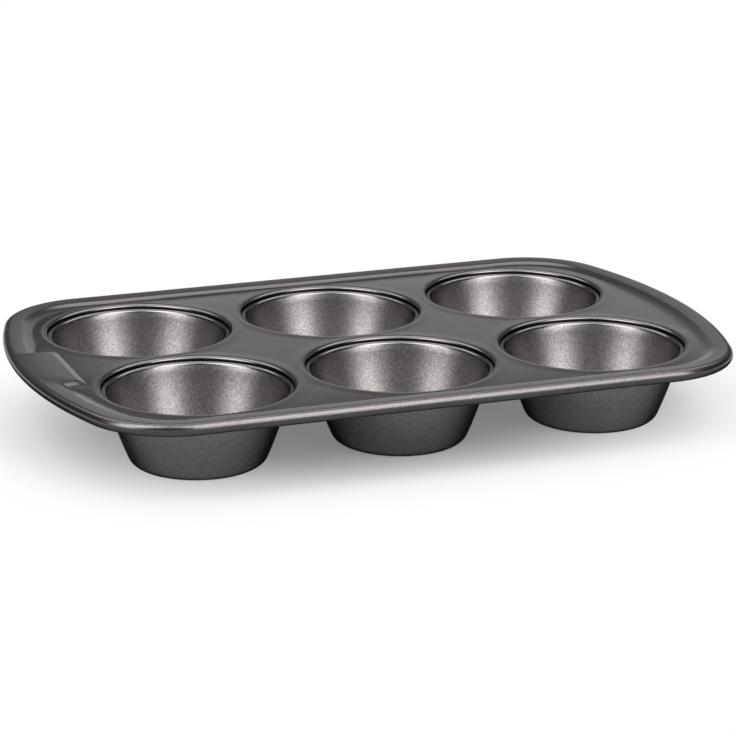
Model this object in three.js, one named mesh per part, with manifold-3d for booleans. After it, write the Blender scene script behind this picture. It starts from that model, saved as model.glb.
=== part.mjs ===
// Muffin pan: a pressed steel tray with a wired, rolled edge and six drawn cups crimped into it.
// Millimetres, +Z up. The pan stands on the cup bottoms at z = 0, and the rows of cups run along X.
import * as THREE from 'three';
import { mergeVertices } from 'three/addons/utils/BufferGeometryUtils.js';
import Module from 'manifold-3d';

// Plan of the pan
const HALF_LENGTH = 137.3; // middle of an end to the rolled edge's centre line
const HALF_WIDTH = 87.3; // middle of a side to the rolled edge's centre line
const END_RADIUS = 203; // bow of the two ends
const CORNER_RADIUS = 34;
const CUP_PITCH_X = 81;
const CUP_PITCH_Y = 78.6;
const CUP_COLUMNS = { left: -1, middle: 0, right: 1 };
const CUP_ROWS = { front: -0.5, back: 0.5 };

// Sheet and heights
const SHEET = 0.7;
const DECK_Z = 30.1; // top face of the deck
const CREST_RISE = 0.95; // inner edge of the rim above the deck
const CREST_Z = DECK_Z + CREST_RISE;
const RIM_RISE = 1.3; // top of the rolled edge above the deck
const RIM_Z = DECK_Z + RIM_RISE;

// Raised rim and its slope, measured inwards from the rolled edge's centre line
const CREST_INSET = 5.2;
const FOOT_INSET = 7.9;

// Panel at the left end, a step of the rim towards the cups
const PANEL_BACK_Y = 17.8;
const PANEL_FRONT_Y = -21.5;
const PANEL_BACK_FLARE = 1.6; // the panel grows longer towards the end of the pan
const PANEL_FRONT_FLARE = 6.2;
const PANEL_CREST_X = -122.2;
const PANEL_SLOPE = 2.2;
const PANEL_CORNER = 4;

// Rolled edge and the wire in it
const ROLL_RADIUS = 2.4;
const ROLL_Z = RIM_Z - ROLL_RADIUS;
const ROLL_TURN = THREE.MathUtils.degToRad(290);
const WIRE_RADIUS = 1.25;
const WIRE_GAP = 1.5;

// Crimped seam round a cup, as radii and heights below the deck
const SHOULDER_RADIUS = 38.8;
const KNEE_RADIUS = 37.3;
const KNEE_DROP = 0.25;
const TIP_RADIUS = 36.1;
const TIP_DROP = 0.8;
const FOLD_DROP = 1.2;
const CHANNEL_RADIUS = 36.9;
const SEAT_DROP = 2.6;
const SEAT_INNER_RADIUS = 34.8;
const FLANGE_RADIUS = 36.5;
const FLANGE_DROP = 1.6;

// Cup, as outer sizes
const NECK_RADIUS = 34.4; // where the wall passes the seat
const NECK_DROP = 3.4;
const BASE_RADIUS = 26.9; // where the wall meets the bottom corner
const BASE_CORNER = 5;
const LIP_RADIUS = 1.9;

// Facets
const CORNER_STEPS = 8;
const END_STEPS = 4;
const PANEL_CORNER_STEPS = 3;
const ROLL_STEPS = 9;
const CUP_STEPS = 32;
const KNEE_STEPS = 2;
const BASE_STEPS = 3;
const LIP_STEPS = 3;
const WIRE_SIDES = 6;

const STEEL = new THREE.MeshStandardMaterial({ color: 0x4c4a4c, roughness: 0.42, metalness: 0.85 });
const CUP_STEEL = new THREE.MeshStandardMaterial({ color: 0x5c5856, roughness: 0.48, metalness: 0.85 });
const WIRE_STEEL = new THREE.MeshStandardMaterial({ color: 0x8a8d90, roughness: 0.35, metalness: 1 });

const wasm = await Module();
wasm.setup();

// Closed mesh to solid, and back
function toSolid(geometry) {
  const merged = mergeVertices(geometry, 1e-4);
  return new wasm.Manifold(new wasm.Mesh({
    numProp: 3,
    vertProperties: new Float32Array(merged.attributes.position.array),
    triVerts: new Uint32Array(merged.index.array),
  }));
}

function toGeometry(solid) {
  const mesh = solid.getMesh();
  const geometry = new THREE.BufferGeometry();
  geometry.setAttribute('position', new THREE.BufferAttribute(mesh.vertProperties, 3));
  geometry.setIndex(new THREE.BufferAttribute(mesh.triVerts, 1));
  geometry.computeVertexNormals();
  return geometry;
}

// Points of a circular arc without its last one, so that arcs follow one another
function arc(x, y, radius, from, to, steps) {
  return new THREE.EllipseCurve(x, y, radius, radius, from, to, to < from).getPoints(steps).slice(0, -1);
}

// Centres that all parallel outlines share
const END_X = HALF_LENGTH - END_RADIUS;
const CORNER_Y = HALF_WIDTH - CORNER_RADIUS;
const CORNER_X = END_X + Math.sqrt((END_RADIUS - CORNER_RADIUS) ** 2 - CORNER_Y ** 2);
const END_ANGLE = Math.atan2(CORNER_Y, CORNER_X - END_X);

// Outline of the pan moved inwards, counter-clockwise from the middle of the left end.
// The left end is drawn as two arcs so that the panel can stand between them.
function outline(inset, leftTop = Math.PI, leftBottom = Math.PI, between = []) {
  const corner = CORNER_RADIUS - inset;
  const end = END_RADIUS - inset;
  const quarter = Math.PI / 2;
  return [
    ...arc(-END_X, 0, end, leftBottom, Math.PI + END_ANGLE, END_STEPS),
    ...arc(-CORNER_X, -CORNER_Y, corner, Math.PI + END_ANGLE, 3 * quarter, CORNER_STEPS),
    ...arc(CORNER_X, -CORNER_Y, corner, -quarter, -END_ANGLE, CORNER_STEPS),
    ...arc(END_X, 0, end, -END_ANGLE, END_ANGLE, 2 * END_STEPS),
    ...arc(CORNER_X, CORNER_Y, corner, END_ANGLE, quarter, CORNER_STEPS),
    ...arc(-CORNER_X, CORNER_Y, corner, quarter, Math.PI - END_ANGLE, CORNER_STEPS),
    ...arc(-END_X, 0, end, Math.PI - END_ANGLE, leftTop, END_STEPS),
    ...between,
  ];
}

// Edge of the recess: the outline moved inwards, led round the panel. spread is the slope's run at the panel.
function recessEdge(inset, spread) {
  const end = END_RADIUS - inset;
  const backY = PANEL_BACK_Y + PANEL_BACK_FLARE + spread;
  const frontY = PANEL_FRONT_Y - PANEL_FRONT_FLARE - spread;
  const backStart = Math.PI - Math.asin(backY / end);
  const frontEnd = Math.PI - Math.asin(frontY / end);
  const innerX = PANEL_CREST_X + spread;
  const cornerBack = new THREE.Vector2(innerX, PANEL_BACK_Y + spread);
  const cornerFront = new THREE.Vector2(innerX, PANEL_FRONT_Y - spread);
  const startBack = new THREE.Vector2(-END_X + end * Math.cos(backStart), backY);
  const endFront = new THREE.Vector2(-END_X + end * Math.cos(frontEnd), frontY);
  const between = [
    startBack,
    ...roundedCorner(startBack, cornerBack, cornerFront),
    ...roundedCorner(cornerBack, cornerFront, endFront),
  ];
  return outline(inset, backStart, frontEnd, between);
}

// Points of a curve that rounds the corner between two straight edges
function roundedCorner(before, corner, after) {
  const start = corner.clone().lerp(before, PANEL_CORNER / corner.distanceTo(before));
  const finish = corner.clone().lerp(after, PANEL_CORNER / corner.distanceTo(after));
  return new THREE.QuadraticBezierCurve(start, corner, finish).getPoints(PANEL_CORNER_STEPS);
}

const atHeight = (points, z) => points.map((p) => new THREE.Vector3(p.x, p.y, z));

// Surface made of bands between matching rings and of faces with openings, whose edges may lie lower or higher
class Surface {
  triangles = [];

  band(lower, upper) {
    lower.forEach((a, i) => {
      const b = lower[(i + 1) % lower.length];
      const c = upper[(i + 1) % upper.length];
      const d = upper[i];
      this.triangles.push(a, b, c, a, c, d);
    });
  }

  bands(rings) {
    rings.slice(1).forEach((ring, i) => this.band(rings[i], ring));
  }

  flat(contour, holes, z, facesUp, holesZ = z) {
    const points = [...atHeight(contour, z), ...atHeight(holes.flat(), holesZ)];
    for (const [i, j, k] of THREE.ShapeUtils.triangulateShape(contour, holes)) {
      const corners = [points[i], points[j], points[k]];
      if (THREE.ShapeUtils.isClockWise(corners) === facesUp) {
        corners.reverse();
      }
      this.triangles.push(...corners);
    }
  }

  geometry() {
    return new THREE.BufferGeometry().setFromPoints(this.triangles);
  }
}

const cupPlaces = Object.entries(CUP_ROWS).flatMap(([row, rowStep]) =>
  Object.entries(CUP_COLUMNS).map(([column, columnStep]) => ({
    name: `cup_${row}_${column}`,
    x: columnStep * CUP_PITCH_X,
    y: rowStep * CUP_PITCH_Y,
  })));

const circle = (place, radius) => arc(place.x, place.y, radius, 0, 2 * Math.PI, CUP_STEPS);

// Section of the deck round a mouth, from the deck's top face to its underside:
// shoulder, folded tip, channel for the flange, seat, and back up outside the channel.
function seamSection() {
  const section = [[SHOULDER_RADIUS, DECK_Z]];
  for (let i = 0; i <= KNEE_STEPS; i += 1) {
    const angle = (i / KNEE_STEPS) * (Math.PI / 2);
    const radius = KNEE_RADIUS - (KNEE_RADIUS - TIP_RADIUS) * Math.sin(angle);
    const drop = KNEE_DROP + (TIP_DROP - KNEE_DROP) * (1 - Math.cos(angle));
    section.push([radius, DECK_Z - drop]);
  }
  section.push([CHANNEL_RADIUS, DECK_Z - FOLD_DROP]);
  section.push([CHANNEL_RADIUS, DECK_Z - SEAT_DROP]);
  section.push([SEAT_INNER_RADIUS, DECK_Z - SEAT_DROP]);
  section.push([SEAT_INNER_RADIUS, DECK_Z - SEAT_DROP - SHEET]);
  section.push([CHANNEL_RADIUS + SHEET, DECK_Z - SEAT_DROP - SHEET]);
  section.push([CHANNEL_RADIUS + SHEET, DECK_Z - SHEET - 2 * KNEE_DROP]);
  section.push([SHOULDER_RADIUS, DECK_Z - SHEET]);
  return section;
}

// Rings of the rolled edge, from the top of the rim round the wire
function rollRings(radius) {
  const rings = [];
  for (let i = 0; i <= ROLL_STEPS; i += 1) {
    const angle = Math.PI / 2 - (i / ROLL_STEPS) * ROLL_TURN;
    rings.push(atHeight(outline(-radius * Math.cos(angle)), ROLL_Z + radius * Math.sin(angle)));
  }
  return rings;
}

function trayGeometry() {
  const surface = new Surface();
  const crest = recessEdge(CREST_INSET, 0);
  const foot = recessEdge(FOOT_INSET, PANEL_SLOPE);
  const edge = outline(0);
  const section = seamSection();
  const mouths = cupPlaces.map((place) => circle(place, SHOULDER_RADIUS));

  surface.flat(foot, mouths, DECK_Z, true);
  surface.band(atHeight(crest, CREST_Z), atHeight(foot, DECK_Z));
  surface.flat(edge, [crest], RIM_Z, true, CREST_Z);
  surface.bands([...rollRings(ROLL_RADIUS), ...rollRings(ROLL_RADIUS - SHEET).reverse()].reverse());
  surface.flat(edge, [crest], RIM_Z - SHEET, false, CREST_Z - SHEET);
  surface.band(atHeight(foot, DECK_Z - SHEET), atHeight(crest, CREST_Z - SHEET));
  surface.flat(foot, mouths, DECK_Z - SHEET, false);
  for (const place of cupPlaces) {
    surface.bands(section.map(([radius, z]) => atHeight(circle(place, radius), z)));
  }
  return toGeometry(toSolid(surface.geometry()));
}

// Half section of a cup from the outside of its bottom over the flange to the inside of its bottom
function cupProfile() {
  const flangeTop = DECK_Z - FLANGE_DROP;
  const neckZ = DECK_Z - NECK_DROP;
  const taper = Math.atan2(NECK_RADIUS - BASE_RADIUS, neckZ - BASE_CORNER);
  const insideNeck = NECK_RADIUS - SHEET / Math.cos(taper);
  const points = [new THREE.Vector2(0, 0)];
  for (let i = 0; i <= BASE_STEPS; i += 1) {
    const angle = -Math.PI / 2 + (i / BASE_STEPS) * (Math.PI / 2 - taper);
    points.push(cornerPoint(BASE_CORNER, angle));
  }
  points.push(new THREE.Vector2(NECK_RADIUS, neckZ));
  points.push(new THREE.Vector2(NECK_RADIUS, flangeTop - SHEET));
  points.push(new THREE.Vector2(FLANGE_RADIUS, flangeTop - SHEET));
  points.push(new THREE.Vector2(FLANGE_RADIUS, flangeTop));
  for (let i = 0; i <= LIP_STEPS; i += 1) {
    const angle = Math.PI / 2 + (i / LIP_STEPS) * (Math.PI / 2 - taper);
    const x = insideNeck + LIP_RADIUS * (1 + Math.cos(angle));
    points.push(new THREE.Vector2(x, flangeTop - LIP_RADIUS * (1 - Math.sin(angle))));
  }
  for (let i = BASE_STEPS; i >= 0; i -= 1) {
    const angle = -Math.PI / 2 + (i / BASE_STEPS) * (Math.PI / 2 - taper);
    points.push(cornerPoint(BASE_CORNER - SHEET, angle));
  }
  points.push(new THREE.Vector2(0, SHEET));
  return points;
}

// Point of the rounded bottom corner
function cornerPoint(radius, angle) {
  const x = BASE_RADIUS - BASE_CORNER + radius * Math.cos(angle);
  return new THREE.Vector2(x, BASE_CORNER + radius * Math.sin(angle));
}

function cupGeometry() {
  const geometry = new THREE.LatheGeometry(cupProfile(), CUP_STEPS);
  return geometry.rotateX(Math.PI / 2);
}

// Wire bent to the outline, cut open at the middle of the back side
function wireGeometry() {
  const surface = new Surface();
  const rings = [];
  for (let i = 0; i <= WIRE_SIDES; i += 1) {
    const angle = (i / WIRE_SIDES) * 2 * Math.PI;
    rings.push(atHeight(outline(-WIRE_RADIUS * Math.cos(angle)), ROLL_Z + WIRE_RADIUS * Math.sin(angle)));
  }
  surface.bands(rings);
  const gap = new THREE.BoxGeometry(WIRE_GAP, 4 * WIRE_RADIUS, 4 * WIRE_RADIUS);
  gap.deleteAttribute('normal');
  gap.deleteAttribute('uv');
  gap.translate(0, HALF_WIDTH, ROLL_Z);
  return toGeometry(toSolid(surface.geometry()).subtract(toSolid(gap)));
}

const pan = new THREE.Group();

function addPiece(name, geometry, material, x = 0, y = 0) {
  const mesh = new THREE.Mesh(geometry, material);
  mesh.name = name;
  mesh.position.set(x, y, 0);
  pan.add(mesh);
}

addPiece('tray', trayGeometry(), STEEL);
for (const place of cupPlaces) {
  addPiece(place.name, cupGeometry(), CUP_STEEL, place.x, place.y);
}
addPiece('rim_wire', wireGeometry(), WIRE_STEEL);

export default pan;
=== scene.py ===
"""Muffin pan of dark non-stick steel on a pale floor, seen from in front of its left end."""
import math

import bmesh
import bpy
from mathutils import Matrix, Vector


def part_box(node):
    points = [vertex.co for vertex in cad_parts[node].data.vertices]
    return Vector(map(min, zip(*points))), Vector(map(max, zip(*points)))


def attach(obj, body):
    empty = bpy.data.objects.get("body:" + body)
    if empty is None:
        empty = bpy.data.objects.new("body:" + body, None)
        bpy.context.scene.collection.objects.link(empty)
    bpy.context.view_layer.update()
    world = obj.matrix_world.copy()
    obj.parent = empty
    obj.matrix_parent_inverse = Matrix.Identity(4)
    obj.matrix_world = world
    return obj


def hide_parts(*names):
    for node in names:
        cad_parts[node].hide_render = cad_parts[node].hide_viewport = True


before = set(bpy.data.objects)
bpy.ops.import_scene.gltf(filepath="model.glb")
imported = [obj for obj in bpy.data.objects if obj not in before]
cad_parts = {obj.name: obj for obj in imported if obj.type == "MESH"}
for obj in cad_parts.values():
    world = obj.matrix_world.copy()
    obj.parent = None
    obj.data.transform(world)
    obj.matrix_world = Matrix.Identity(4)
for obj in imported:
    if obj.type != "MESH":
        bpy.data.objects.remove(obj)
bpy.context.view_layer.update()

MM = 0.001
QUARTER = math.pi / 2

# Sizes that the frame gives: the rolled edge's reach, the rim's height and where the cups stand
_, tray_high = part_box("tray")
CUP_NODES = [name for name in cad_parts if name.startswith("cup_")]
RIM_Z = tray_high[2]

# Sheet, deck and rolled edge
SHEET = 0.7 * MM
RIM_RISE = 1.3 * MM
DECK_Z = RIM_Z - RIM_RISE
ROLL_RADIUS = 2.4 * MM
ROLL_Z = RIM_Z - ROLL_RADIUS
ROLL_START = math.radians(94)  # where the flange runs smoothly into the roll
ROLL_END = math.radians(-200)
HALF_LENGTH = tray_high[0] - ROLL_RADIUS
HALF_WIDTH = tray_high[1] - ROLL_RADIUS
END_RADIUS = 203 * MM
CORNER_RADIUS = 34 * MM
WIRE_RADIUS = 1.25 * MM
WIRE_GAP = 1.5 * MM

# Slope between the rim and the deck, measured inwards from the rolled edge's centre line
CREST_INSET = 5.2 * MM
CREST_Z = DECK_Z + 0.95 * MM
BROW_SHARE = 0.15  # share of the slope that the bend at its crest takes
BROW_RUN = 0.4 * MM  # that bend ends this far out on the flange
BROW_RISE = 0.01 * MM
FOOT_INSET = 7.9 * MM
FOOT_SHARE = 0.17  # share of the slope that the bend at its foot takes

# Soft hollow that the deck has along the slope's foot
HOLLOW_INSET = 17 * MM  # where it runs out into the deck at its widest
HOLLOW_LEAST = 1.2 * MM  # its width along the front side and the panel
HOLLOW_FRONT_Y = -78 * MM  # here it starts to widen towards the back
HOLLOW_FULL_Y = -35 * MM  # and here it has its full width
HOLLOW_RUN = 20 * MM  # it widens over this length on either side of the panel
HOLLOW_DEPTH = 0.016  # its depth as a share of its width
HOLLOW_BRINK = 0.17  # shares of its width, from the slope's foot, where its section turns
HOLLOW_BOTTOM = 0.36
HOLLOW_RISE = 0.65
MOUTH_MARGIN = 0.2 * MM  # the hollow keeps this far from a mouth's shoulder
MOUTH_TRIES = 40  # steps in which it is tried how far it can reach

# Panel at the left end
PANEL_BACK_Y = 17.8 * MM
PANEL_FRONT_Y = -21.8 * MM
PANEL_BACK_FLARE = 1.6 * MM
PANEL_FRONT_FLARE = 6.2 * MM
PANEL_CREST_X = -122.2 * MM
PANEL_SLOPE = 2.2 * MM
PANEL_CORNER = 4 * MM
PANEL_FRONT_SHARE = 1.45  # the slope at the front is that much longer
PANEL_KNEE = (-130 * MM, -24.2 * MM)  # where the front slope turns into the slope of the rim
PANEL_KNEE_SHARE = (0.8, -1.2)  # how far that place moves with the spread
PANEL_KNEE_CORNER = 1.5 * MM

# Crimped seam round a mouth, with heights measured down from the deck
SHOULDER_RADIUS = 38.8 * MM
SHOULDER_EDGE = SHOULDER_RADIUS + 0.1 * MM  # where the deck's faces begin
SHOULDER_ROUND = 0.3 * MM
SHOULDER_SHARE = 0.3  # share of the way to the knee that the shoulder's bend takes
KNEE_RADIUS = 37.5 * MM
KNEE_DROP = 0.05 * MM
TIP_RADIUS = 36.1 * MM
TIP_DROP = 0.8 * MM
TIP_ROUND = 0.2 * MM
TIP_ROUND_DROP = KNEE_DROP + 0.25 * MM
TIP_EDGE = 0.05 * MM
CHANNEL_RADIUS = 36.9 * MM
CHANNEL_ROUND = 0.3 * MM
FOLD_DROP = 1.2 * MM
SEAT_DROP = 2.6 * MM
SEAT_INNER_RADIUS = 34.8 * MM
SEAT_ROUND = 0.2 * MM
HEEL_ROUND = 0.5 * MM  # outer corner under the seat
THROAT_DROP = SHEET + 0.3 * MM  # corner where the seam's outside turns out under the deck
THROAT_START_DROP = SHEET + 0.8 * MM
THROAT_END_DROP = SHEET + 0.2 * MM
THROAT_RUN = 0.4 * MM

# Cup
FLANGE_RADIUS = 36.5 * MM
FLANGE_DROP = 1.6 * MM
FLANGE_ROUND = 0.2 * MM
NECK_RADIUS = 34.4 * MM
NECK_DROP = 3.4 * MM
NECK_ROUND = 0.3 * MM
BASE_RADIUS = 26.9 * MM
BASE_CORNER = 5 * MM
BASE_RING = 1 * MM  # flat ring inside the bottom's corner
LIP_RADIUS = 1.9 * MM
WALL_BOW = 0.5 * MM  # the drawn wall is slightly rounded between neck and bottom

# Slight forms of the pressed sheet, which only its sheen shows, so the coating carries them as a bump
RISE_OUTER = 43.5 * MM  # from here the deck rises towards a mouth
RISE_INNER = 36.8 * MM
RISE_HEIGHT = 0.14 * MM
RISE_BLEND = 4 * MM
WAVE_LENGTH = 40 * MM
WAVE_HEIGHT = 0.12 * MM
SATIN_VARIATION = 0.03  # the coating's roughness varies by this much along the same waves
BEYOND_ALL_CUPS = 1.0  # distance to start from when the nearest cup is looked for

# Steps along the curves
CORNER_STEPS = 28
END_STEPS = 20
SIDE_STEPS = 72
FLANK_STEPS = 4
PANEL_CORNER_STEPS = 8
PANEL_EDGE_STEPS = 12
ROLL_STEPS = 30
BEND_STEPS = 5
MOUTH_STEPS = 128
BASE_STEPS = 12
LIP_STEPS = 10
WALL_STEPS = 10
WIRE_SECTION_STEPS = 3

# Closeness at which points count as level with each other, and as one point
LEVEL = 0.01 * MM
DOUBLE = 0.002 * MM
SHARP = math.radians(40)  # edges that are sharper stay edges

# Centres that all parallel outlines share
END_X = HALF_LENGTH - END_RADIUS
CORNER_Y = HALF_WIDTH - CORNER_RADIUS
CORNER_X = END_X + math.sqrt((END_RADIUS - CORNER_RADIUS) ** 2 - CORNER_Y ** 2)
END_ANGLE = math.atan2(CORNER_Y, CORNER_X - END_X)


def mix(a, b, share):
    """Point at a share of the way from a to b."""
    return tuple(p + (q - p) * share for p, q in zip(a, b))


def line(a, b, steps):
    """Points of a straight stretch without its last one, so that the next stretch can follow on."""
    return [mix(a, b, i / steps) for i in range(steps)]


def arc(x, y, radius, start, end, steps):
    """Points of an arc without its last one."""
    angles = [start + (end - start) * i / steps for i in range(steps)]
    return [(x + radius * math.cos(a), y + radius * math.sin(a)) for a in angles]


def bend(a, corner, b, steps=BEND_STEPS):
    """Points of a curve from a to b that rounds the corner between them."""
    shares = [i / steps for i in range(steps + 1)]
    return [mix(mix(a, corner, s), mix(corner, b, s), s) for s in shares]


def rounded(corner, before, after):
    """Points of a bend that starts and ends at these offsets from its corner."""
    (x, z), (x_in, z_in), (x_out, z_out) = corner, before, after
    return bend((x + x_in, z + z_in), corner, (x + x_out, z + z_out))


def circle(radius):
    return arc(0, 0, radius, 0, 2 * math.pi, MOUTH_STEPS)


def at_height(points, z):
    return [(x, y, z) for x, y in points]


def outline(inset, spread=None):
    """Outline of the pan moved inwards. With a spread it is led round the panel, that far from its crest."""
    corner = CORNER_RADIUS - inset
    end = END_RADIUS - inset
    back_y, front_y = panel_reach(spread or 0.0)
    back = math.pi - math.asin(back_y / end)
    front = math.pi - math.asin(front_y / end)
    if spread is None:
        steps = 3 * (FLANK_STEPS + PANEL_CORNER_STEPS) + PANEL_EDGE_STEPS
        middle = arc(-END_X, 0, end, back, front, steps)
    else:
        start = (-END_X + end * math.cos(back), back_y)
        finish = (-END_X + end * math.cos(front), front_y)
        middle = panel_edge(start, finish, spread)
    return [
        *arc(-END_X, 0, end, front, math.pi + END_ANGLE, END_STEPS),
        *arc(-CORNER_X, -CORNER_Y, corner, math.pi + END_ANGLE, 3 * QUARTER, CORNER_STEPS),
        *line((-CORNER_X, -CORNER_Y - corner), (CORNER_X, -CORNER_Y - corner), SIDE_STEPS),
        *arc(CORNER_X, -CORNER_Y, corner, -QUARTER, -END_ANGLE, CORNER_STEPS),
        *arc(END_X, 0, end, -END_ANGLE, END_ANGLE, 2 * END_STEPS),
        *arc(CORNER_X, CORNER_Y, corner, END_ANGLE, QUARTER, CORNER_STEPS),
        *line((CORNER_X, CORNER_Y + corner), (-CORNER_X, CORNER_Y + corner), SIDE_STEPS),
        *arc(-CORNER_X, CORNER_Y, corner, QUARTER, math.pi - END_ANGLE, CORNER_STEPS),
        *arc(-END_X, 0, end, math.pi - END_ANGLE, back, END_STEPS),
        *middle,
    ]


def panel_reach(spread):
    """Where an edge that is led round the panel leaves the left end's arc at the back and at the front."""
    back_y = PANEL_BACK_Y + PANEL_BACK_FLARE + spread
    front_y = PANEL_FRONT_Y - PANEL_FRONT_FLARE - spread * PANEL_FRONT_SHARE
    return back_y, front_y


def panel_edge(start, finish, spread):
    """Edge round the panel, from the back part of the left end to its front part."""
    back = (PANEL_CREST_X + spread, PANEL_BACK_Y + spread)
    front = (PANEL_CREST_X + spread, PANEL_FRONT_Y - spread * PANEL_FRONT_SHARE)
    edge = math.dist(back, front)
    back_in = mix(back, start, PANEL_CORNER / math.dist(back, start))
    back_out = mix(back, front, PANEL_CORNER / edge)
    front_in = mix(front, back, PANEL_CORNER / 2 / edge)
    knee = tuple(place + spread * share for place, share in zip(PANEL_KNEE, PANEL_KNEE_SHARE))
    front_out = mix(front, knee, PANEL_CORNER / 2 / math.dist(front, knee))
    knee_in = mix(knee, front, PANEL_KNEE_CORNER / math.dist(front, knee))
    knee_out = mix(knee, finish, PANEL_KNEE_CORNER / math.dist(finish, knee))
    return [
        *line(start, back_in, FLANK_STEPS),
        *bend(back_in, back, back_out, PANEL_CORNER_STEPS)[:-1],
        *line(back_out, front_in, PANEL_EDGE_STEPS),
        *bend(front_in, front, front_out, PANEL_CORNER_STEPS)[:-1],
        *line(front_out, knee_in, FLANK_STEPS),
        *bend(knee_in, knee, knee_out, PANEL_CORNER_STEPS)[:-1],
        *line(knee_out, finish, FLANK_STEPS),
    ]


def activate(piece):
    """Selects this piece alone."""
    bpy.ops.object.select_all(action="DESELECT")
    piece.select_set(True)
    bpy.context.view_layer.objects.active = piece


def grow(name, rings):
    """Sheet that starts as a circle of edges and is extruded from ring to ring, each laid on its points."""
    count = len(rings[0])
    bpy.ops.object.select_all(action="DESELECT")
    bpy.ops.mesh.primitive_circle_add(vertices=count)
    piece = bpy.context.object
    piece.name = name
    bpy.ops.object.mode_set(mode="EDIT")
    for i, ring in enumerate(rings):
        if i:
            bpy.ops.mesh.extrude_edges_move()
        mesh = bmesh.from_edit_mesh(piece.data)
        mesh.verts.ensure_lookup_table()
        for vertex, point in zip(mesh.verts[-count:], ring):
            vertex.co = point
    bmesh.update_edit_mesh(piece.data)
    bpy.ops.object.mode_set(mode="OBJECT")
    return piece


def close_flat(piece, z):
    """Fills the open edges of a piece that lie at this height."""
    activate(piece)
    bpy.ops.object.mode_set(mode="EDIT")
    bpy.ops.mesh.select_mode(type="EDGE")
    bpy.ops.mesh.select_all(action="DESELECT")
    mesh = bmesh.from_edit_mesh(piece.data)
    for edge in mesh.edges:
        level = all(abs(vertex.co.z - z) < LEVEL for vertex in edge.verts)
        edge.select_set(edge.is_boundary and level)
    bpy.ops.mesh.fill(use_beauty=True)
    bpy.ops.object.mode_set(mode="OBJECT")


def finish_mesh(piece):
    """Merges what coincides, turns the faces outwards and smooths all but sharp edges."""
    activate(piece)
    bpy.ops.object.mode_set(mode="EDIT")
    bpy.ops.mesh.select_all(action="SELECT")
    bpy.ops.mesh.remove_doubles(threshold=DOUBLE)
    bpy.ops.mesh.normals_make_consistent(inside=False)
    bpy.ops.object.mode_set(mode="OBJECT")
    bpy.ops.object.shade_smooth_by_angle(angle=SHARP)


def copy_to_cups(first):
    """Copies of a piece, each with its own mesh, one at the centre of each cup. The first one is removed."""
    copies = []
    for node in CUP_NODES:
        piece = first.copy()
        piece.data = first.data.copy()
        bpy.context.collection.objects.link(piece)
        piece.data.transform(Matrix.Translation((*cup_centre(node), 0)))
        copies.append(piece)
    bpy.data.objects.remove(first)
    return copies


def cup_centre(node):
    low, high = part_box(node)
    return (low[0] + high[0]) / 2, (low[1] + high[1]) / 2


def rim_rings():
    """Rings of the rim sheet from the deck's top face over the slope and round the wire to its underside."""
    foot = at_height(outline(FOOT_INSET, PANEL_SLOPE), DECK_Z)
    crest = at_height(outline(CREST_INSET, 0.0), CREST_Z)
    flange = at_height(outline(CREST_INSET - BROW_RUN, -BROW_RUN), CREST_Z + BROW_RISE)
    brow = [bend(mix(b, a, BROW_SHARE), b, c) for a, b, c in zip(foot, crest, flange)]
    top = [*map(list, zip(*hollow_sections(foot, crest))), *map(list, zip(*brow))]
    underside = [[(x, y, z - SHEET) for x, y, z in ring] for ring in top]
    top += [at_height(outline(inset), z) for inset, z in roll_section(ROLL_RADIUS)]
    inner = [at_height(outline(inset), z) for inset, z in reversed(roll_section(ROLL_RADIUS - SHEET))]
    return [*top, *inner, *reversed(underside)]


def hollow_sections(foot, crest):
    """Sections of the hollow from where it leaves the deck to the slope, one for each point of the foot."""
    centres = [cup_centre(node) for node in CUP_NODES]
    near = at_height(outline(FOOT_INSET + HOLLOW_LEAST, PANEL_SLOPE + HOLLOW_LEAST), DECK_Z)
    far = at_height(outline(HOLLOW_INSET), DECK_Z)
    sections = []
    for start, least, full, upper in zip(foot, near, far, crest):
        end = clear_of_mouths(start, mix(least, full, hollow_share(start)), centres)
        low = DECK_Z - HOLLOW_DEPTH * math.dist(start, end)
        brink, bottom, rise = [(*mix(start, end, share)[:2], low)
                               for share in (HOLLOW_BRINK, HOLLOW_BOTTOM, HOLLOW_RISE)]
        slope = mix(start, upper, FOOT_SHARE)
        sections.append([*bend(end, rise, bottom), *bend(bottom, brink, slope, 2 * BEND_STEPS)[1:]])
    return sections


def hollow_share(point):
    """Share of the way from the hollow's least to its full width, at a point of the slope's foot."""
    x, y, _ = point
    share = (y - HOLLOW_FRONT_Y) / (HOLLOW_FULL_Y - HOLLOW_FRONT_Y)
    if x < 0:
        back_y, front_y = panel_reach(PANEL_SLOPE)
        share = min(share, max(y - back_y, front_y - y) / HOLLOW_RUN)
    return min(1.0, max(0.0, share))


def clear_of_mouths(start, end, centres):
    """Furthest point on the way from start to end that keeps off the shoulders round the mouths."""
    best = start
    for i in range(1, MOUTH_TRIES + 1):
        point = mix(start, end, i / MOUTH_TRIES)
        if min(math.dist(point[:2], centre) for centre in centres) < SHOULDER_RADIUS + MOUTH_MARGIN:
            break
        best = point
    return best


def roll_point(radius, share):
    """Inset and height of a point of the rolled edge, at a share of its turn."""
    angle = ROLL_START + (ROLL_END - ROLL_START) * share
    return (-radius * math.cos(angle), ROLL_Z + radius * math.sin(angle))


def roll_section(radius):
    return [roll_point(radius, i / ROLL_STEPS) for i in range(ROLL_STEPS + 1)]


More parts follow.
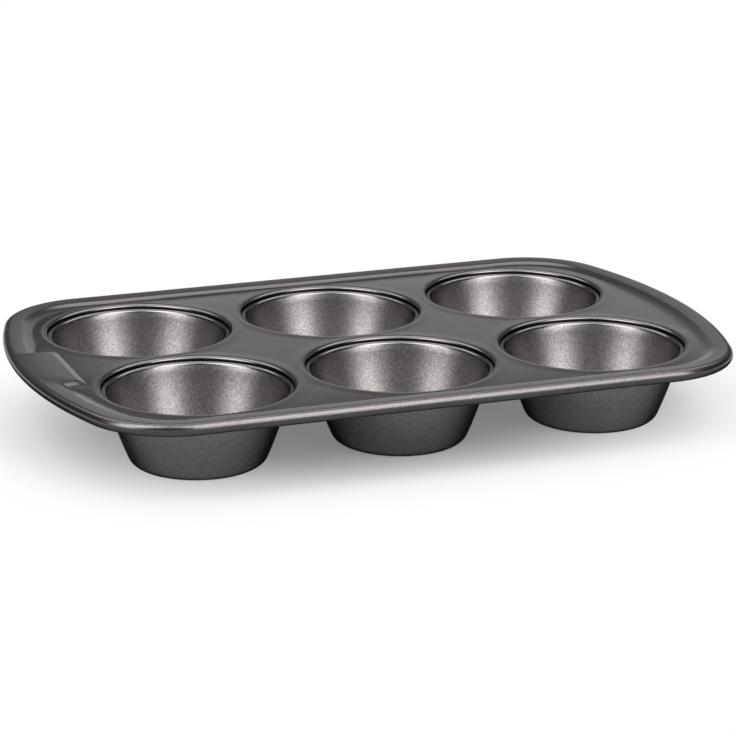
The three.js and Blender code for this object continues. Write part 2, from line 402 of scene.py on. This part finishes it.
def seam_rings():
    """Rings of the deck round a mouth: shoulder, folded tip, channel, seat, and back up to the underside."""
    shoulder = (SHOULDER_RADIUS - SHOULDER_ROUND, 0.0)
    knee = (KNEE_RADIUS, -KNEE_DROP)
    tip = (TIP_RADIUS, -TIP_DROP)
    below_tip = (TIP_RADIUS, -TIP_DROP - TIP_EDGE)
    seat_z = -SEAT_DROP
    below_z = seat_z - SHEET
    outer = CHANNEL_RADIUS + SHEET
    section = [
        (SHOULDER_EDGE, 0.0),
        *bend((SHOULDER_RADIUS, 0.0), shoulder, mix(shoulder, knee, SHOULDER_SHARE)),
        *bend(knee, (TIP_RADIUS + TIP_ROUND, -TIP_ROUND_DROP), tip, 2 * BEND_STEPS),
        *bend(below_tip, (TIP_RADIUS, -FOLD_DROP), (CHANNEL_RADIUS, -FOLD_DROP)),
        *rounded((CHANNEL_RADIUS, seat_z), (0, CHANNEL_ROUND), (-CHANNEL_ROUND, 0)),
        *rounded((SEAT_INNER_RADIUS, seat_z), (SEAT_ROUND, 0), (0, -SEAT_ROUND)),
        *rounded((SEAT_INNER_RADIUS, below_z), (0, SEAT_ROUND), (SEAT_ROUND, 0)),
        *rounded((outer, below_z), (-HEEL_ROUND, 0), (0, HEEL_ROUND)),
        *bend((outer, -THROAT_START_DROP), (outer, -THROAT_DROP), (outer + THROAT_RUN, -THROAT_END_DROP)),
        (SHOULDER_RADIUS, -SHEET),
        (SHOULDER_EDGE, -SHEET),
    ]
    return [at_height(circle(radius), DECK_Z + z) for radius, z in section]


def make_tray():
    """Pressed tray: the rim sheet, six seams and the two faces of the deck between them."""
    tray = grow("tray_sheet", rim_rings())
    seams = copy_to_cups(grow("seam", seam_rings()))
    activate(tray)
    for seam in seams:
        seam.select_set(True)
    bpy.ops.object.join()
    close_flat(tray, DECK_Z)
    close_flat(tray, DECK_Z - SHEET)
    finish_mesh(tray)
    return tray


def cup_rings():
    """Rings of a cup from the outside of its bottom over the flange to the inside of its bottom."""
    flange_z = DECK_Z - FLANGE_DROP
    under_z = flange_z - SHEET
    neck_z = DECK_Z - NECK_DROP
    taper = math.atan2(NECK_RADIUS - BASE_RADIUS, neck_z - BASE_CORNER)
    lip_x = NECK_RADIUS - SHEET / math.cos(taper) + LIP_RADIUS
    centre = BASE_RADIUS - BASE_CORNER
    outer = arc(centre, BASE_CORNER, BASE_CORNER, -QUARTER, -taper, BASE_STEPS)
    inner = arc(centre, BASE_CORNER, BASE_CORNER - SHEET, -taper, -QUARTER, BASE_STEPS)
    lip = arc(lip_x, flange_z - LIP_RADIUS, LIP_RADIUS, QUARTER, math.pi - taper, LIP_STEPS)
    section = [
        (centre - BASE_RING, 0.0),
        *outer,
        *bowed(outer[-1], (NECK_RADIUS, neck_z)),
        *rounded((NECK_RADIUS, under_z), (0, -NECK_ROUND), (NECK_ROUND, 0)),
        (FLANGE_RADIUS, under_z),
        *rounded((FLANGE_RADIUS, flange_z), (0, -FLANGE_ROUND), (-FLANGE_ROUND, 0)),
        *lip,
        *bowed(lip[-1], inner[0])[:-1],
        *inner,
        (centre, SHEET),
        (centre - BASE_RING, SHEET),
    ]
    return [at_height(circle(radius), z) for radius, z in section]


def bowed(a, b):
    """Points of a wall from a to b without its first one, bowed outwards."""
    points = []
    for i in range(WALL_STEPS):
        share = (i + 1) / WALL_STEPS
        x, z = mix(a, b, share)
        points.append((x + 4 * WALL_BOW * share * (1 - share), z))
    return points


def make_cups():
    """Six drawn cups, modelled once and copied."""
    first = grow("cup", cup_rings())
    close_flat(first, 0.0)
    close_flat(first, SHEET)
    finish_mesh(first)
    cups = copy_to_cups(first)
    for node, cup in zip(CUP_NODES, cups):
        cup.name = f"{node}_drawn"
    return cups


def make_wire():
    """Wire in the rolled edge, from one side of its gap at the back round to the other."""
    points = outline(0.0)
    gap = WIRE_GAP / 2
    start = next(i for i, (x, y) in enumerate(points) if abs(y - HALF_WIDTH) < LEVEL and x < gap)
    route = [(-gap, HALF_WIDTH), *points[start + 1:], *points[:start], (gap, HALF_WIDTH)]
    route = [p for p in route if abs(p[0]) >= gap or p[1] < 0]
    curve = bpy.data.curves.new("rim_wire_route", "CURVE")
    curve.dimensions = "3D"
    curve.bevel_depth = WIRE_RADIUS
    curve.bevel_resolution = WIRE_SECTION_STEPS
    curve.use_fill_caps = True
    spline = curve.splines.new("POLY")
    spline.points.add(len(route) - 1)
    for point, (x, y) in zip(spline.points, route):
        point.co = (x, y, ROLL_Z, 1)
    wire = bpy.data.objects.new("rim_wire_drawn", curve)
    bpy.context.collection.objects.link(wire)
    activate(wire)
    bpy.ops.object.convert(target="MESH")
    wire = bpy.context.object
    finish_mesh(wire)
    return wire


def linear(code):
    """Linear colour of an sRGB hex value."""
    channels = [int(code[i:i + 2], 16) / 255 for i in (1, 3, 5)]
    return (*[c / 12.92 if c <= 0.04045 else ((c + 0.055) / 1.055) ** 2.4 for c in channels], 1.0)


def add_node(tree, kind, inputs=None, **settings):
    """Adds a node with its settings. An input is a value, or an output that is linked to it."""
    made = tree.nodes.new(kind)
    for name, value in settings.items():
        setattr(made, name, value)
    for name, value in (inputs or {}).items():
        if isinstance(value, bpy.types.NodeSocket):
            tree.links.new(value, made.inputs[name])
        else:
            made.inputs[name].default_value = value
    return made


def new_material(name):
    material = bpy.data.materials.new(name)
    material.use_nodes = True
    material.node_tree.nodes.clear()
    return material, material.node_tree


def mouth_rise(tree, place):
    """Rise of the deck towards the mouths, from 0 to 1, by the distance from the nearest cup's centre."""
    flat = add_node(tree, "ShaderNodeVectorMath", {0: place, 1: (1, 1, 0)}, operation="MULTIPLY")
    nearest = BEYOND_ALL_CUPS
    for node in CUP_NODES:
        away = add_node(tree, "ShaderNodeVectorMath", {
            0: flat.outputs["Vector"], 1: (*cup_centre(node), 0)}, operation="DISTANCE")
        smaller = add_node(tree, "ShaderNodeMath", {
            0: nearest, 1: away.outputs["Value"], 2: RISE_BLEND}, operation="SMOOTH_MIN")
        nearest = smaller.outputs[0]
    rise = add_node(tree, "ShaderNodeMapRange", {
        "Value": nearest, "From Min": RISE_OUTER, "From Max": RISE_INNER}, interpolation_type="SMOOTHSTEP")
    return rise.outputs["Result"]


def coated_steel(name, colour, metallic, roughness, edge, flake, flake_contrast, peel, peel_height,
                 sheet=False):
    """Steel with a baked non-stick coating: dark and satin, with metal flakes that glint and a faint orange
    peel that breaks up its highlights. The edge is its colour at a grazing look. Real flakes are about
    0.05 mm across, too fine to show, so they are drawn coarser."""
    material, tree = new_material(name)
    place = add_node(tree, "ShaderNodeTexCoord").outputs["Object"]
    flakes = add_node(tree, "ShaderNodeTexVoronoi", {"Vector": place, "Scale": 1 / flake})
    spread = add_node(tree, "ShaderNodeMapRange", {
        "Value": flakes.outputs["Color"], "To Min": 1 - flake_contrast, "To Max": 1 + flake_contrast})
    base = add_node(tree, "ShaderNodeMix", {
        "Factor": 1.0, "A": linear(colour), "B": spread.outputs["Result"]},
        data_type="RGBA", blend_type="MULTIPLY")
    grain = add_node(tree, "ShaderNodeTexNoise", {"Vector": place, "Scale": 1 / peel, "Detail": 2.0})
    bump = add_node(tree, "ShaderNodeBump", {
        "Height": grain.outputs["Fac"], "Strength": 1.0, "Distance": peel_height})
    clouds = add_node(tree, "ShaderNodeTexNoise", {"Vector": place, "Scale": 1 / WAVE_LENGTH, "Detail": 2.0})
    if sheet:
        rise = add_node(tree, "ShaderNodeBump", {
            "Height": mouth_rise(tree, place), "Strength": 1.0, "Distance": RISE_HEIGHT})
        wave = add_node(tree, "ShaderNodeBump", {
            "Height": clouds.outputs["Fac"], "Strength": 1.0, "Distance": WAVE_HEIGHT,
            "Normal": rise.outputs["Normal"]})
        tree.links.new(wave.outputs["Normal"], bump.inputs["Normal"])
    satin = add_node(tree, "ShaderNodeMapRange", {
        "Value": clouds.outputs["Fac"], "To Min": roughness - SATIN_VARIATION,
        "To Max": roughness + SATIN_VARIATION})
    shader = add_node(tree, "ShaderNodeBsdfPrincipled", {
        "Base Color": base.outputs["Result"], "Metallic": metallic, "Roughness": satin.outputs["Result"],
        "Specular Tint": linear(edge), "Normal": bump.outputs["Normal"]})
    add_node(tree, "ShaderNodeOutputMaterial", {"Surface": shader.outputs["BSDF"]})
    return material


def drawn_wire_steel():
    """Bare drawn wire: bright grey, with marks that dull it in places, drawn coarser than the real ones."""
    mark = 0.5 * MM
    material, tree = new_material("drawn_steel_wire")
    place = add_node(tree, "ShaderNodeTexCoord").outputs["Object"]
    marks = add_node(tree, "ShaderNodeTexNoise", {"Vector": place, "Scale": 1 / mark, "Detail": 3.0})
    rough = add_node(tree, "ShaderNodeMapRange", {
        "Value": marks.outputs["Fac"], "To Min": 0.28, "To Max": 0.48})
    shader = add_node(tree, "ShaderNodeBsdfPrincipled", {
        "Base Color": linear("#9a9b9c"), "Metallic": 1.0, "Roughness": rough.outputs["Result"]})
    add_node(tree, "ShaderNodeOutputMaterial", {"Surface": shader.outputs["BSDF"]})
    return material


# Camera, from the photograph's view of the cups and the rim, with angles in degrees
CAMERA_AZIMUTH = -20.58
CAMERA_ELEVATION = 16.94
CAMERA_ROLL = 0.17
CAMERA_DISTANCE = 1161 * MM
CAMERA_SIDE = 1.67 * MM
CAMERA_RISE = -13.44 * MM
CAMERA_TARGET_Z = 30.85 * MM
CAMERA_SENSOR = 36  # in mm, as the lens is
CAMERA_LENS = 143.8

# Floor and room
WORLD_STRENGTH = 0.04
HORIZON_WHITE = math.sin(math.radians(0.5))  # the mirrored horizon is white up to here
HORIZON_DIM = math.sin(math.radians(3))
PAN_REACH = (140 * MM, 90 * MM, 1.0)  # half the pan's length and width
WHITE_START = 0.5  # in half lengths and widths: from here the floor turns white
WHITE_END = 1.6
WHITE_LEAST = 0.2  # share of white in the shadow under the pan
FLOOR_SIZE = 12.0
FLOOR_Z = -0.1 * MM  # just under the cups

# Lights. A softbox is its name, azimuth and elevation in degrees, distance, width, height and radiance.
SOFTBOXES = [
    ("left_softbox", CAMERA_AZIMUTH - 56, 46, 2.8, 1.5, 3.4, 4.0),
    ("right_softbox", CAMERA_AZIMUTH + 47, 46, 2.8, 1.5, 3.4, 4.15),
    ("top_softbox", CAMERA_AZIMUTH + 180, 76, 2.9, 4.4, 4.0, 1.05),
    ("back_softbox", CAMERA_AZIMUTH + 178.2, 9.6, 3.2, 1.15, 0.98, 0.76),
    ("backdrop_light", CAMERA_AZIMUTH + 180, 23, 3.4, 7.0, 0.8, 0.2),
    ("back_strip", CAMERA_AZIMUTH + 180, 48, 3.2, 5.0, 0.8, 1.2),
    ("front_fill", CAMERA_AZIMUTH, 20, 3.4, 6.0, 1.2, 0.17),
    ("left_fill", CAMERA_AZIMUTH - 88, 28, 3.4, 7.0, 1.0, 0.08),
    ("right_fill", CAMERA_AZIMUTH + 88, 28, 3.4, 7.0, 1.0, 0.08),
]


def pale_floor():
    """Matt white floor. Seen or mirrored it is lifted to white, and it keeps the pan's shadow."""
    material, tree = new_material("matt_white_floor")
    path = add_node(tree, "ShaderNodeLightPath")
    seen = add_node(tree, "ShaderNodeMath", {
        0: path.outputs["Is Camera Ray"], 1: path.outputs["Is Glossy Ray"]}, operation="MAXIMUM")
    seen = add_node(tree, "ShaderNodeMath", {
        0: seen.outputs[0], 1: path.outputs["Is Transmission Ray"]}, operation="MAXIMUM")
    place = add_node(tree, "ShaderNodeTexCoord").outputs["Object"]
    away = add_node(tree, "ShaderNodeVectorMath", {0: place, 1: PAN_REACH}, operation="DIVIDE")
    away = add_node(tree, "ShaderNodeVectorMath", {0: away.outputs["Vector"]}, operation="LENGTH")
    white = add_node(tree, "ShaderNodeMapRange", {
        "Value": away.outputs["Value"], "From Min": WHITE_START, "From Max": WHITE_END,
        "To Min": WHITE_LEAST}, interpolation_type="SMOOTHSTEP")
    share = add_node(tree, "ShaderNodeMath", {
        0: seen.outputs[0], 1: white.outputs["Result"]}, operation="MULTIPLY")
    matt = add_node(tree, "ShaderNodeBsdfDiffuse", {"Color": linear("#d4d4d4")})
    glow = add_node(tree, "ShaderNodeEmission", {"Strength": 1.0})
    both = add_node(tree, "ShaderNodeMixShader", {
        0: share.outputs[0], 1: matt.outputs[0], 2: glow.outputs[0]})
    add_node(tree, "ShaderNodeOutputMaterial", {"Surface": both.outputs[0]})
    return material


def studio_world():
    """Dim studio. It is white where the camera sees it, and metal mirrors a white horizon."""
    world = bpy.data.worlds.new("studio")
    world.use_nodes = True
    tree = world.node_tree
    tree.nodes.clear()
    path = add_node(tree, "ShaderNodeLightPath")
    mirrored = add_node(tree, "ShaderNodeMath", {
        0: path.outputs["Is Glossy Ray"], 1: path.outputs["Is Transmission Ray"]}, operation="MAXIMUM")
    place = add_node(tree, "ShaderNodeTexCoord").outputs["Generated"]
    height = add_node(tree, "ShaderNodeSeparateXYZ", {0: place}).outputs["Z"]
    horizon = add_node(tree, "ShaderNodeMapRange", {
        "Value": height, "From Min": HORIZON_DIM, "From Max": HORIZON_WHITE}, interpolation_type="SMOOTHSTEP")
    share = add_node(tree, "ShaderNodeMath", {
        0: mirrored.outputs[0], 1: horizon.outputs["Result"]}, operation="MULTIPLY")
    seen = add_node(tree, "ShaderNodeMath", {
        0: path.outputs["Is Camera Ray"], 1: share.outputs[0]}, operation="MAXIMUM")
    strength = add_node(tree, "ShaderNodeMath", {0: seen.outputs[0], 1: WORLD_STRENGTH}, operation="MAXIMUM")
    light = add_node(tree, "ShaderNodeBackground", {
        "Color": linear("#ffffff"), "Strength": strength.outputs[0]})
    add_node(tree, "ShaderNodeOutputWorld", {"Surface": light.outputs[0]})
    return world


def direction(azimuth, elevation):
    """Unit vector from the pan; azimuth 0 is the front and grows to the right, both in degrees."""
    a = math.radians(azimuth)
    e = math.radians(elevation)
    return Vector((math.sin(a) * math.cos(e), -math.cos(a) * math.cos(e), math.sin(e)))


def add_camera():
    """Camera in front of the pan's left end, turned to the pan and then moved along its own picture."""
    back = direction(CAMERA_AZIMUTH, CAMERA_ELEVATION)
    level = Vector((0, 0, 1)).cross(back).normalized()
    upright = back.cross(level)
    roll = math.radians(CAMERA_ROLL)
    right = level * math.cos(roll) + upright * math.sin(roll)
    up = upright * math.cos(roll) - level * math.sin(roll)
    target = Vector((0, 0, CAMERA_TARGET_Z))
    eye = target + back * CAMERA_DISTANCE + right * CAMERA_SIDE + up * CAMERA_RISE
    bpy.ops.object.camera_add()
    camera = bpy.context.object
    camera.matrix_world = Matrix.Translation(eye) @ Matrix((right, up, back)).transposed().to_4x4()
    camera.data.sensor_width = CAMERA_SENSOR
    camera.data.lens = CAMERA_LENS
    bpy.context.scene.camera = camera


def add_softbox(name, azimuth, elevation, distance, width, height, radiance):
    """Soft studio light that faces the pan, as bright as given wherever it is mirrored."""
    towards = direction(azimuth, elevation)
    bpy.ops.object.light_add(type="AREA", location=towards * distance)
    lamp = bpy.context.object
    lamp.name = name
    lamp.rotation_euler = towards.to_track_quat("Z", "Y").to_euler()
    lamp.data.shape = "RECTANGLE"
    lamp.data.size = width
    lamp.data.size_y = height
    lamp.data.energy = radiance * math.pi * width * height


def add_stage():
    """Floor, room and lights."""
    bpy.ops.object.select_all(action="DESELECT")
    bpy.ops.mesh.primitive_plane_add(size=FLOOR_SIZE, location=(0, 0, FLOOR_Z))
    floor = bpy.context.object
    floor.name = "floor"
    floor.data.materials.append(pale_floor())
    bpy.context.scene.world = studio_world()
    bpy.context.scene.view_settings.view_transform = "Standard"
    for softbox in SOFTBOXES:
        add_softbox(*softbox)


# How far a face has to look outwards, up or down to take another coating, painted shade or painted highlight,
# as parts of its normal
ROLL_OUTWARDS = 0.25
SIDEWAYS_MOST = 0.1
DOWNWARDS = -0.3
FOLD_UPWARDS = 0.15
LIP_UPWARDS = 0.35
FOLD_RADIUS = KNEE_RADIUS - 0.1 * MM  # the painted highlight on the folded edge starts here


def coat_faces(piece, material, chosen):
    """Puts another coating on the faces of a piece for which chosen says yes."""
    piece.data.materials.append(material)
    slot = len(piece.data.materials) - 1
    for face in piece.data.polygons:
        if chosen(face):
            face.material_index = slot


def on_roll(face):
    """Whether a face of the tray is on the outer side of the rolled edge."""
    x, y, _ = face.center
    past_x = math.copysign(max(0.0, abs(x) - CORNER_X), x)
    past_y = math.copysign(max(0.0, abs(y) - CORNER_Y), y)
    away = Vector((past_x, past_y))
    outwards = away.dot(face.normal.xy) > ROLL_OUTWARDS * away.length
    return outwards and away.length > CORNER_RADIUS - ROLL_RADIUS


def looks_sideways_or_down(face):
    """Whether a face of the tray looks sideways or down."""
    return face.normal.z < SIDEWAYS_MOST


def on_outside(face, centre):
    """Whether a face of a cup looks down, or sideways and away from the cup's centre."""
    outwards = (face.center.xy - Vector(centre)).dot(face.normal.xy) > 0
    return face.normal.z < SIDEWAYS_MOST and (outwards or face.normal.z < DOWNWARDS)


def on_fold(face, centres):
    """Whether a face of the tray is on the folded edge over a seam."""
    near = min((face.center.xy - centre).length for centre in centres) < FOLD_RADIUS
    return near and face.normal.z > FOLD_UPWARDS and face.center.z > DECK_Z - TIP_DROP


def on_lip(face):
    """Whether a face of a cup is on its flange or its rounded lip."""
    return face.center.z > DECK_Z - NECK_DROP and face.normal.z > LIP_UPWARDS


def dress(piece, node, material):
    """Puts the finish on a piece and lets it stand for its node."""
    piece.data.materials.clear()
    piece.data.materials.append(material)
    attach(piece, "root")
    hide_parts(node)


add_camera()
add_stage()

# Smooth coat on the deck: an even dark satin sheet with a soft sheen, its flakes hardly to be seen
tray_coating = coated_steel(
    "non_stick_coated_tray_steel", colour="#635f61", metallic=0.9, roughness=0.2, edge="#e1e1e1",
    flake=0.35 * MM, flake_contrast=0.1, peel=0.6 * MM, peel_height=0.003 * MM, sheet=True)

# The same coat where the edge was rolled: a little grainy, so that its long highlight is soft
roll_coating = coated_steel(
    "non_stick_coated_roll_steel", colour="#6c686a", metallic=1.0, roughness=0.28, edge="#e1e1e1",
    flake=0.35 * MM, flake_contrast=0.25, peel=0.6 * MM, peel_height=0.02 * MM)

# Sprayed coat inside the cups: the grainiest, which sparkles in its bands of light. Its colour, much lighter
# than the deck's, is partly painted light that brightens those bands
cup_coat_and_painted_light = coated_steel(
    "cup_steel_and_painted_light", colour="#979292", metallic=1.0, roughness=0.33, edge="#909090",
    flake=0.42 * MM, flake_contrast=0.45, peel=0.4 * MM, peel_height=0.07 * MM)

# Stretched coat on the cup's lip: smooth, so that it draws thin bright lines. On the tray's folded edge over
# each seam its lighter colour is painted highlight, brighter than the deck's own coat
lip_coat_and_painted_fold_highlight = coated_steel(
    "lip_steel_and_painted_fold_highlight", colour="#838081", metallic=1.0, roughness=0.2, edge="#b0b0b0",
    flake=0.35 * MM, flake_contrast=0.05, peel=0.6 * MM, peel_height=0.003 * MM)

# Dull darker coat outside the cups. Its near-black edge colour is painted shade: the cups' sides stay dark at
# a grazing look, as if they mirrored the shadowed floor under the tray
outside_coat_and_painted_shade = coated_steel(
    "outside_steel_and_painted_shade", colour="#656264", metallic=1.0, roughness=0.36, edge="#080808",
    flake=0.4 * MM, flake_contrast=0.3, peel=0.6 * MM, peel_height=0.02 * MM)

# The darkest and dullest coat, on every tray face that looks sideways or down: the underside's own darker
# coat, and painted shade on the lower half of the rolled edge and on the walls in the seams
underside_coat_and_painted_shade = coated_steel(
    "underside_steel_and_painted_shade", colour="#4c4b4e", metallic=1.0, roughness=0.42, edge="#202020",
    flake=0.4 * MM, flake_contrast=0.2, peel=0.5 * MM, peel_height=0.02 * MM)

tray = make_tray()
dress(tray, "tray", tray_coating)
coat_faces(tray, roll_coating, on_roll)
# Painted shade: the darkest coat goes on every tray face that looks sideways or down, the rolled edge's lower
# half included
coat_faces(tray, underside_coat_and_painted_shade, looks_sideways_or_down)
mouth_centres = [Vector(cup_centre(node)) for node in CUP_NODES]
# Painted highlight: the folded edge over each seam takes the lighter lip colour, so that its thin line of
# light shows brighter
coat_faces(tray, lip_coat_and_painted_fold_highlight, lambda face: on_fold(face, mouth_centres))

for node, cup in zip(CUP_NODES, make_cups()):
    centre = cup_centre(node)
    # Partly painted light: the cups' insides take a coat much lighter than the deck's
    dress(cup, node, cup_coat_and_painted_light)
    # Painted shade: the outside coat's near-black edge colour darkens the cups' sides
    coat_faces(cup, outside_coat_and_painted_shade, lambda face: on_outside(face, centre))
    coat_faces(cup, lip_coat_and_painted_fold_highlight, on_lip)

wire = make_wire()
dress(wire, "rim_wire", drawn_wire_steel())
